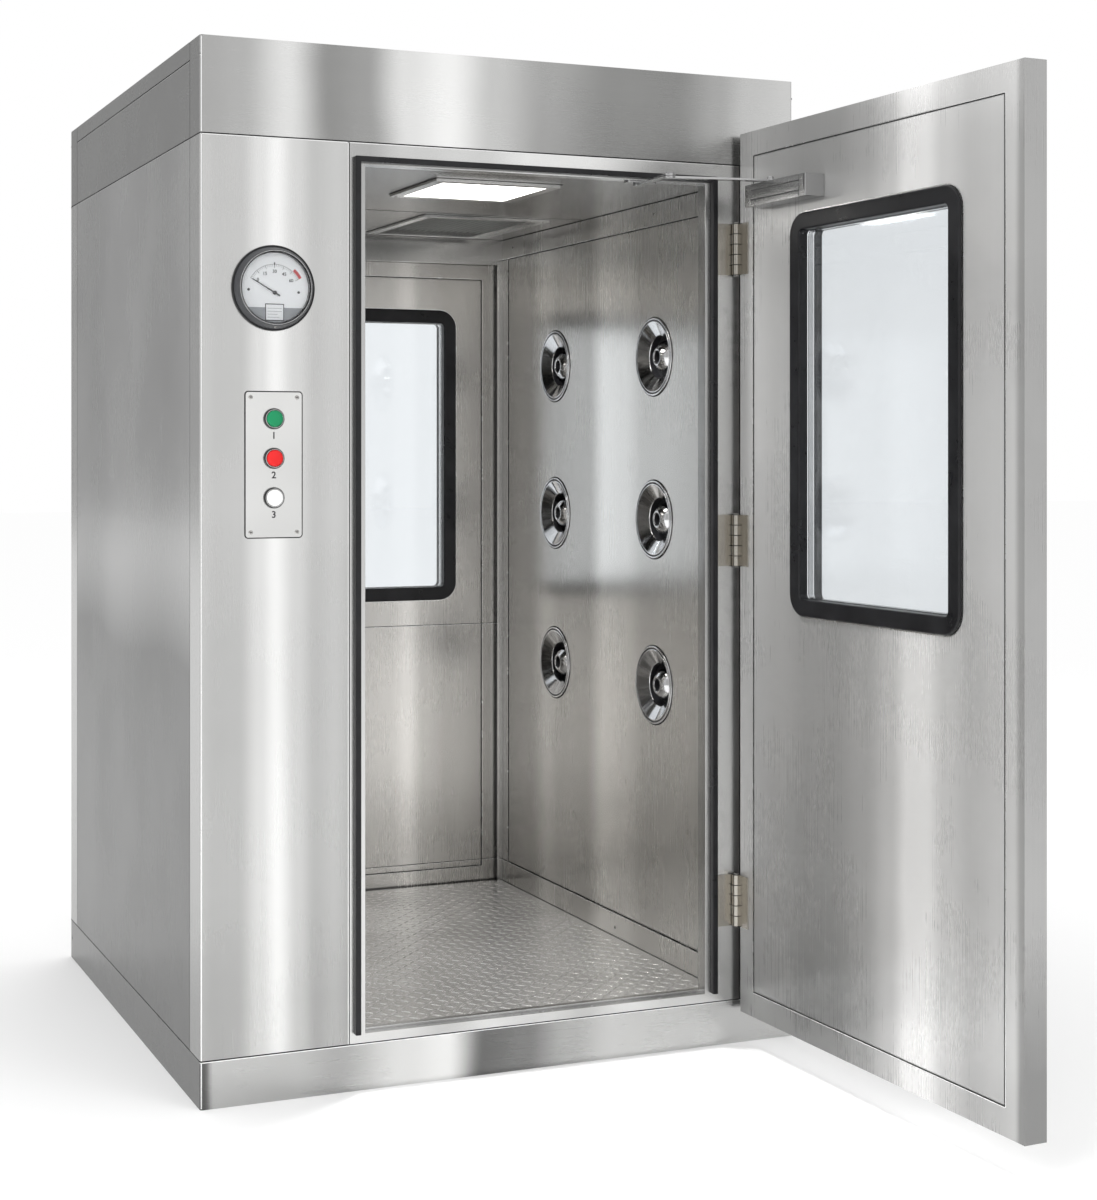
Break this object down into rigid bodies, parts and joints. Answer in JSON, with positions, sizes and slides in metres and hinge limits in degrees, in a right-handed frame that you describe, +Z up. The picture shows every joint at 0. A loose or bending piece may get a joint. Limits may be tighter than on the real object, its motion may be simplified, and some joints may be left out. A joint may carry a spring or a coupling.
{
  "type": "air shower tunnel",
  "caption": "Stainless walk-through air shower cabin with hinged glazed doors, wall nozzles, ceiling lamp, fan unit, gauge, push buttons and door closer.",
  "frame": {"origin": "middle of the base, on the floor", "axes": "+X to the right for someone facing the entry door, +Y to the rear exit door, +Z up; the entry door opens towards -Y"},
  "size_m": [1.365, 2.3792, 2.15],
  "materials": {
    "steel_panel": "stainless sheet, upright brushing",
    "steel_header": "stainless sheet, level brushing",
    "steel_plinth": "stainless sheet, level brushing",
    "steel_frame": "stainless sheet, fine brushing",
    "steel_lining": "stainless sheet, upright brushing",
    "steel_door": "stainless sheet, upright brushing",
    "steel_fitting": "stainless, satin",
    "tread_plate": "stainless tread plate with raised bars",
    "nozzle_chrome": "polished",
    "closer_chrome": "polished",
    "hinge_steel": "satin nickel",
    "closer_aluminium": "satin silver anodised",
    "black_rubber": "black moulded rubber",
    "window_glass": "clear safety glass",
    "lens_clear": "clear",
    "lamp_glow": "opal, lit",
    "filter_fleece": "white pleated fleece",
    "filter_frame": "filter cell frame",
    "galvanised_sheet": "galvanised sheet",
    "motor_paint": "dark grey paint",
    "control_paint": "light grey paint",
    "gauge_black": "black, half gloss",
    "dial_white": "white dial with plain scale",
    "pointer_black": "black",
    "button_green": "green",
    "button_red": "red",
    "button_white": "white",
    "bezel_black": "black"
  },
  "bodies": {
    "casing": {"button_bezels": "bezel_black", "button_plate": "steel_fitting", "cabin_trims": "steel_lining", "cabinet_frame": "steel_plinth", "ceiling_panel": "steel_lining", "closer_shoe": "closer_chrome", "control_gear": "control_paint", "corner_panels": "steel_panel", "fan_box": "galvanised_sheet", "fan_motor": "motor_paint", "floor_plate": "tread_plate", "frame_gaskets": "black_rubber", "front_door_frame": "steel_frame", "front_header_panel": "steel_header", "gauge_case": "gauge_black", "gauge_dial": "dial_white", "gauge_lens": "lens_clear", "header_cladding": "steel_header", "hinge_frame_leaves": "hinge_steel", "lamp_diffuser": "lamp_glow", "lamp_frame": "steel_fitting", "left_column_panel": "steel_panel", "left_nozzle_wall": "steel_lining", "main_filter": "filter_frame", "nozzle_rings": "nozzle_chrome", "prefilter": "filter_fleece", "rear_door_frame": "steel_frame", "return_grille": "steel_fitting", "right_nozzle_wall": "steel_lining", "side_panels": "steel_panel"},
    "front_door": {"front_door_leaf": "steel_door", "front_window_rubber": "black_rubber", "front_window_glass": "window_glass", "front_hinge_leaves": "hinge_steel", "closer_body": "closer_aluminium", "front_pull_handle": "steel_fitting"},
    "rear_door": {"rear_door_leaf": "steel_door", "rear_window_rubber": "black_rubber", "rear_window_glass": "window_glass", "rear_hinge_leaves": "hinge_steel", "rear_pull_handle": "steel_fitting"},
    "closer_arm_link": {"closer_arm": "closer_chrome"},
    "closer_forearm_link": {"closer_forearm": "closer_chrome"},
    "start_cap": {"start_button": "button_green"},
    "stop_cap": {"stop_button": "button_red"},
    "door_cap": {"door_button": "button_white"},
    "pointer": {"gauge_pointer": "pointer_black"},
    "impeller": {"fan_impeller": "galvanised_sheet"},
    "nozzle_left_1": {"nozzle_ball_left_1": "nozzle_chrome"},
    "nozzle_left_2": {"nozzle_ball_left_2": "nozzle_chrome"},
    "nozzle_left_3": {"nozzle_ball_left_3": "nozzle_chrome"},
    "nozzle_left_4": {"nozzle_ball_left_4": "nozzle_chrome"},
    "nozzle_left_5": {"nozzle_ball_left_5": "nozzle_chrome"},
    "nozzle_left_6": {"nozzle_ball_left_6": "nozzle_chrome"},
    "nozzle_right_1": {"nozzle_ball_right_1": "nozzle_chrome"},
    "nozzle_right_2": {"nozzle_ball_right_2": "nozzle_chrome"},
    "nozzle_right_3": {"nozzle_ball_right_3": "nozzle_chrome"},
    "nozzle_right_4": {"nozzle_ball_right_4": "nozzle_chrome"},
    "nozzle_right_5": {"nozzle_ball_right_5": "nozzle_chrome"},
    "nozzle_right_6": {"nozzle_ball_right_6": "nozzle_chrome"}
  },
  "joints": [
    {"name": "front_door_hinge", "type": "hinge", "parent": "casing", "child": "front_door", "pos_m": [0.5325, -0.68, 1.119], "axis": [0, 0, 1], "range_deg": [-92, 13]},
    {"name": "rear_door_hinge", "type": "hinge", "parent": "casing", "child": "rear_door", "pos_m": [-0.3695, 0.6795, 1.119], "axis": [0, 0, 1], "range_deg": [0, 95]},
    {"name": "closer_arm_pivot", "type": "hinge", "parent": "front_door", "child": "closer_arm_link", "pos_m": [0.51662, -0.85566, 1.892], "axis": [0, 0, 1], "range_deg": [-13, 92]},
    {"name": "closer_forearm_pivot", "type": "hinge", "parent": "casing", "child": "closer_forearm_link", "pos_m": [0.3085, -0.644, 1.8985], "axis": [0, 0, 1], "range_deg": [-92, 13]},
    {"name": "gauge_pointer_pivot", "type": "hinge", "parent": "casing", "child": "pointer", "pos_m": [-0.5315, -0.682, 1.637], "axis": [0, 1, 0], "range_deg": [0, 120], "stiffness_Nm_per_rad": 0.01, "springref_deg": -11.46},
    {"name": "fan_impeller_spin", "type": "hinge", "parent": "casing", "child": "impeller", "pos_m": [-0.526, -0.041, 1.852], "axis": [0, 0, 1], "continuous": true},
    {"name": "start_button_push", "type": "slide", "parent": "casing", "child": "start_cap", "axis": [0, 1, 0], "range_m": [0, 0.004], "stiffness_N_per_m": 400, "springref_m": -0.002},
    {"name": "stop_button_push", "type": "slide", "parent": "casing", "child": "stop_cap", "axis": [0, 1, 0], "range_m": [0, 0.004], "stiffness_N_per_m": 400, "springref_m": -0.002},
    {"name": "door_button_push", "type": "slide", "parent": "casing", "child": "door_cap", "axis": [0, 1, 0], "range_m": [0, 0.004], "stiffness_N_per_m": 400, "springref_m": -0.002},
    {"name": "nozzle_left_1_swivel", "type": "hinge", "parent": "casing", "child": "nozzle_left_1", "pos_m": [-0.4115, -0.325, 0.761], "axis": [0, 0, 1], "range_deg": [-20, 20]},
    {"name": "nozzle_left_2_swivel", "type": "hinge", "parent": "casing", "child": "nozzle_left_2", "pos_m": [-0.4115, -0.325, 1.155], "axis": [0, 0, 1], "range_deg": [-20, 20]},
    {"name": "nozzle_left_3_swivel", "type": "hinge", "parent": "casing", "child": "nozzle_left_3", "pos_m": [-0.4115, -0.325, 1.542], "axis": [0, 0, 1], "range_deg": [-20, 20]},
    {"name": "nozzle_left_4_swivel", "type": "hinge", "parent": "casing", "child": "nozzle_left_4", "pos_m": [-0.4115, 0.243, 0.761], "axis": [0, 0, 1], "range_deg": [-20, 20]},
    {"name": "nozzle_left_5_swivel", "type": "hinge", "parent": "casing", "child": "nozzle_left_5", "pos_m": [-0.4115, 0.243, 1.155], "axis": [0, 0, 1], "range_deg": [-20, 20]},
    {"name": "nozzle_left_6_swivel", "type": "hinge", "parent": "casing", "child": "nozzle_left_6", "pos_m": [-0.4115, 0.243, 1.542], "axis": [0, 0, 1], "range_deg": [-20, 20]},
    {"name": "nozzle_right_1_swivel", "type": "hinge", "parent": "casing", "child": "nozzle_right_1", "pos_m": [0.5545, -0.325, 0.761], "axis": [0, 0, 1], "range_deg": [-20, 20]},
    {"name": "nozzle_right_2_swivel", "type": "hinge", "parent": "casing", "child": "nozzle_right_2", "pos_m": [0.5545, -0.325, 1.155], "axis": [0, 0, 1], "range_deg": [-20, 20]},
    {"name": "nozzle_right_3_swivel", "type": "hinge", "parent": "casing", "child": "nozzle_right_3", "pos_m": [0.5545, -0.325, 1.542], "axis": [0, 0, 1], "range_deg": [-20, 20]},
    {"name": "nozzle_right_4_swivel", "type": "hinge", "parent": "casing", "child": "nozzle_right_4", "pos_m": [0.5545, 0.243, 0.761], "axis": [0, 0, 1], "range_deg": [-20, 20]},
    {"name": "nozzle_right_5_swivel", "type": "hinge", "parent": "casing", "child": "nozzle_right_5", "pos_m": [0.5545, 0.243, 1.155], "axis": [0, 0, 1], "range_deg": [-20, 20]},
    {"name": "nozzle_right_6_swivel", "type": "hinge", "parent": "casing", "child": "nozzle_right_6", "pos_m": [0.5545, 0.243, 1.542], "axis": [0, 0, 1], "range_deg": [-20, 20]}
  ],
  "couplings": [
    {"joint": "closer_arm_pivot", "follows": "front_door_hinge", "ratio": -1},
    {"joint": "closer_forearm_pivot", "follows": "front_door_hinge", "ratio": 1}
  ]
}
